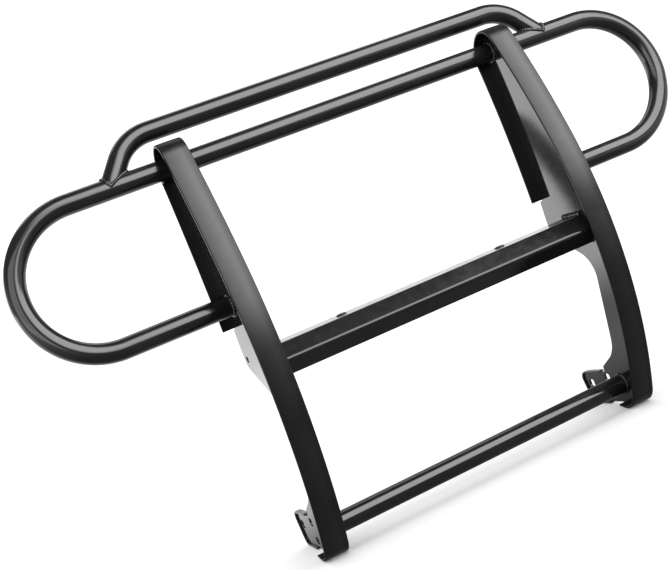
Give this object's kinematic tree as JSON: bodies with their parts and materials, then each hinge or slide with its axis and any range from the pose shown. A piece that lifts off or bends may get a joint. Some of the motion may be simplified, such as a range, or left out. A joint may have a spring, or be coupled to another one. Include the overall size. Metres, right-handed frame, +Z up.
{
  "type": "front grille guard",
  "caption": "Front grille guard for an off-road vehicle: wrapped-plate uprights joined by crossbars, with bent side loops and a raised top hoop.",
  "frame": {"origin": "middle of the guard at the lowest point of the upright strips, halfway between its front and back", "axes": "+X across the guard to the right seen from the front, -Y towards the guard's front face, +Z up"},
  "size_m": [1.3852, 0.275, 0.8418],
  "materials": {
    "powder_coat": "gloss black powder coat over steel",
    "powder_coat_satin": "semi-gloss black powder coat over steel",
    "black_zinc": "black zinc plated fastener"
  },
  "bodies": {
    "root": {"upright_web_left": "powder_coat", "face_strip_left": "powder_coat_satin", "lug_rim_left": "powder_coat", "side_loop_left": "powder_coat", "light_bolt_left": "black_zinc", "light_washer_left": "black_zinc", "light_nut_left": "black_zinc", "upright_web_right": "powder_coat", "face_strip_right": "powder_coat_satin", "lug_rim_right": "powder_coat", "side_loop_right": "powder_coat", "light_bolt_right": "black_zinc", "light_washer_right": "black_zinc", "light_nut_right": "black_zinc", "upper_crossbar": "powder_coat", "lower_crossbar": "powder_coat", "middle_crossbar": "powder_coat_satin", "top_hoop": "powder_coat"}
  },
  "joints": []
}
